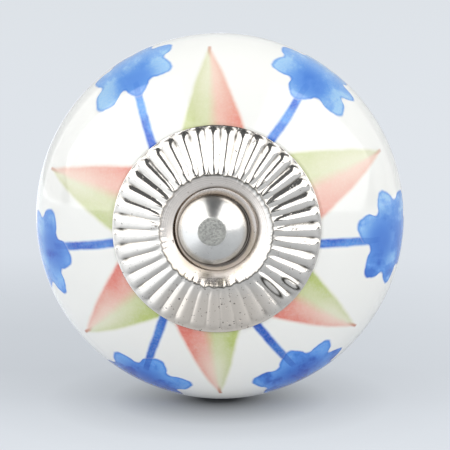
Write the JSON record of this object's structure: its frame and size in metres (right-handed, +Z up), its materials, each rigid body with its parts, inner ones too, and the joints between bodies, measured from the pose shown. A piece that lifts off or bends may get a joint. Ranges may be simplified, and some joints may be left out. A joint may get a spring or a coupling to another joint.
{
  "type": "cabinet knob",
  "caption": "Round hand-painted ceramic cabinet knob with a fluted metal rosette, a domed bolt through its centre and a metal base cup behind.",
  "frame": {"origin": "on the knob's axis, at the centre of the ring of the base cup that stands on the drawer face", "axes": "-Y points out of the drawer towards the user, +Y runs along the bolt into the drawer front, +Z is up"},
  "size_m": [0.042, 0.0601, 0.042],
  "materials": {
    "painted_glaze": "clear gloss glaze over hand-painted flowers",
    "plated_sheet": "bright plating with light tarnish in the cup",
    "plated_steel": "bright plating with a worn flat on the head",
    "cup_plate": "bright plating",
    "zinc_steel": "zinc plated"
  },
  "bodies": {
    "root": {"ceramic_body": "painted_glaze", "front_rosette": "plated_sheet", "bolt": "plated_steel", "base_cup": "cup_plate", "washer": "zinc_steel", "clamp_nut": "zinc_steel"}
  },
  "joints": []
}
